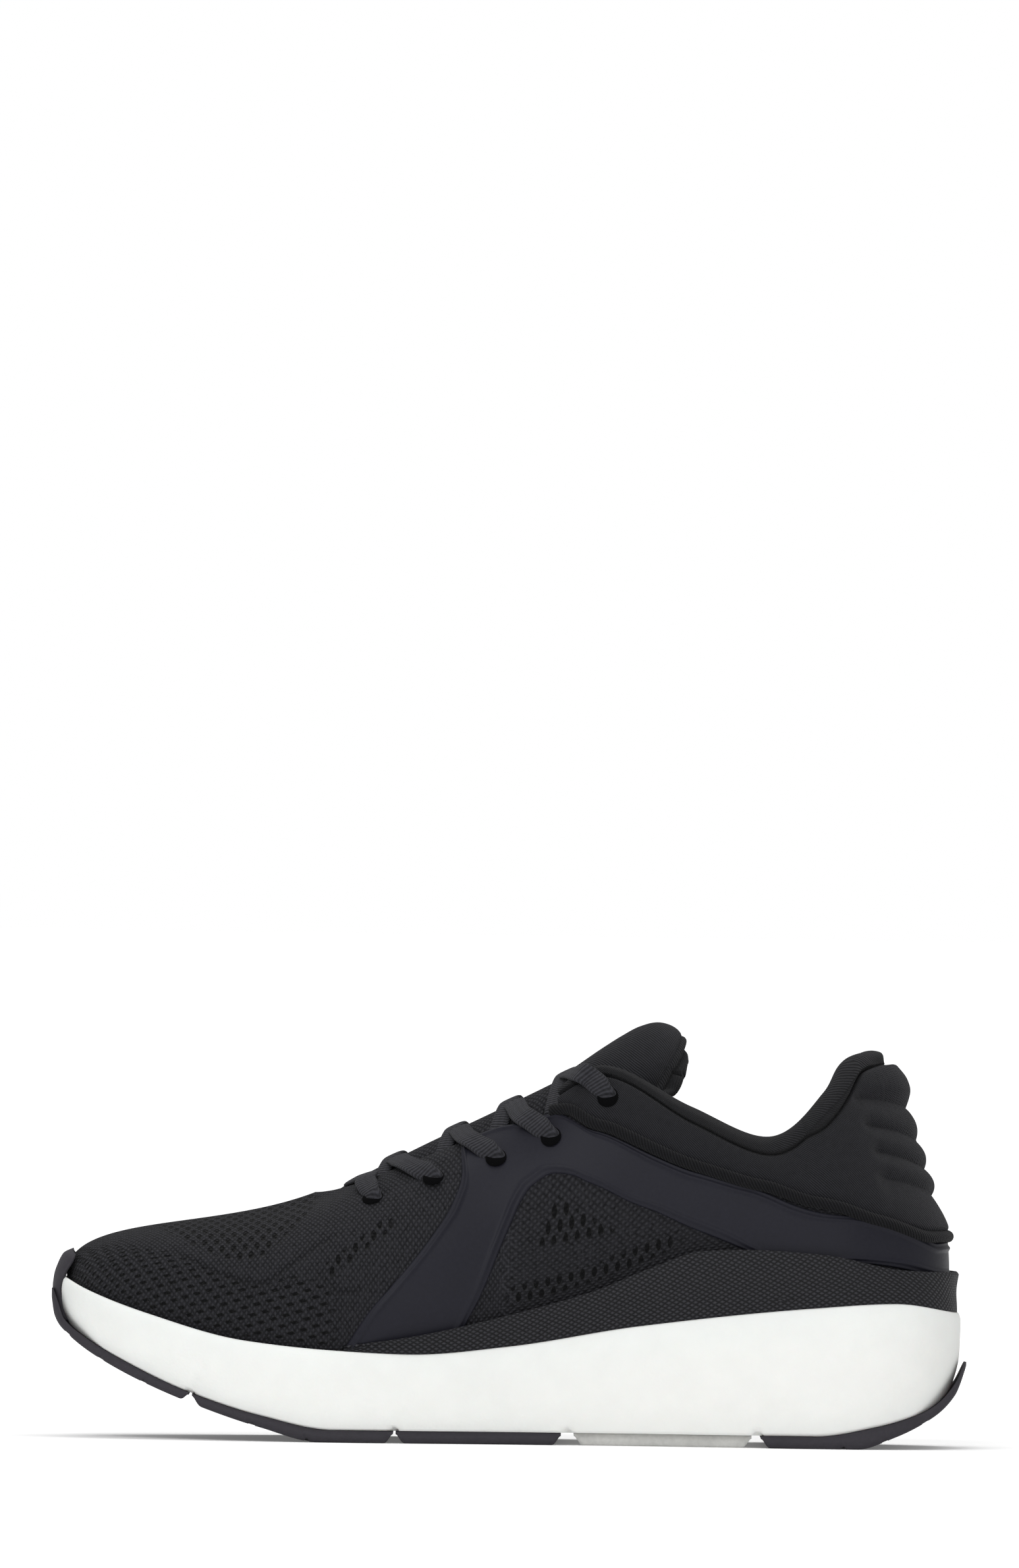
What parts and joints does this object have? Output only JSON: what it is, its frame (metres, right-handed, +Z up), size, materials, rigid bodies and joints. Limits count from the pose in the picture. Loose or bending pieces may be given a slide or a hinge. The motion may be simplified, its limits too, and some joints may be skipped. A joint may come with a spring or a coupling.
{
  "type": "running shoe",
  "caption": "Low laced running shoe for the right foot with a knit upper, film overlays, padded collar, thick white foam sole and dark rubber outsole.",
  "frame": {"origin": "centre of the shoe over the floor that the outsole rests on", "axes": "+X towards the heel, +Y towards the lateral (outer) side, +Z up"},
  "size_m": [0.2846, 0.1062, 0.1317],
  "materials": {
    "rubber": "matte moulded rubber",
    "foam": "white closed-cell foam, faintly grained",
    "cradle": "dark moulded rail with a fine scale texture",
    "board": "stiff non-woven board",
    "sock_foam": "soft open foam",
    "sock_cloth": "knitted top cloth",
    "knit": "black engineered knit",
    "stiffener": "thermoformed board",
    "overlay": "smooth matte film with a raised edge bead",
    "eyestay": "bonded reinforcement",
    "collar_twill": "black twill",
    "padding": "soft foam padding",
    "lining": "brushed black lining cloth",
    "piping": "twill covered cord",
    "lace": "flat woven black lace",
    "aglet": "clear black plastic tip"
  },
  "bodies": {
    "shoe": {"outsole_toe": "rubber", "outsole_forefoot": "rubber", "outsole_arch": "rubber", "outsole_heel_front": "rubber", "outsole_heel": "rubber", "midsole": "foam", "sidewall_cradle": "cradle", "strobel_board": "board", "knit_upper": "knit", "toe_puff": "stiffener", "heel_counter": "stiffener", "overlay_medial": "overlay", "overlay_lateral": "overlay", "eyestay_medial": "eyestay", "eyestay_lateral": "eyestay", "collar_panel": "collar_twill", "collar_foam": "padding", "collar_lining": "lining", "piping": "piping", "tongue_base": "knit", "lace": "lace", "aglet_medial": "aglet", "aglet_lateral": "aglet"},
    "tongue_top": {"tongue_top_shell": "collar_twill", "tongue_top_foam": "padding", "tongue_top_lining": "lining"},
    "sockliner": {"sockliner_foam": "sock_foam", "sockliner_cloth": "sock_cloth"}
  },
  "joints": [
    {"name": "tongue_fold", "type": "hinge", "parent": "shoe", "child": "tongue_top", "pos_m": [0.021, 0, 0.1158], "axis": [0, -1, 0], "range_deg": [0, 35], "stiffness_Nm_per_rad": 0.06},
    {"name": "sockliner_lift", "type": "hinge", "parent": "shoe", "child": "sockliner", "pos_m": [-0.123, -0.008, 0.037], "axis": [0, -1, 0], "range_deg": [0, 5]}
  ]
}
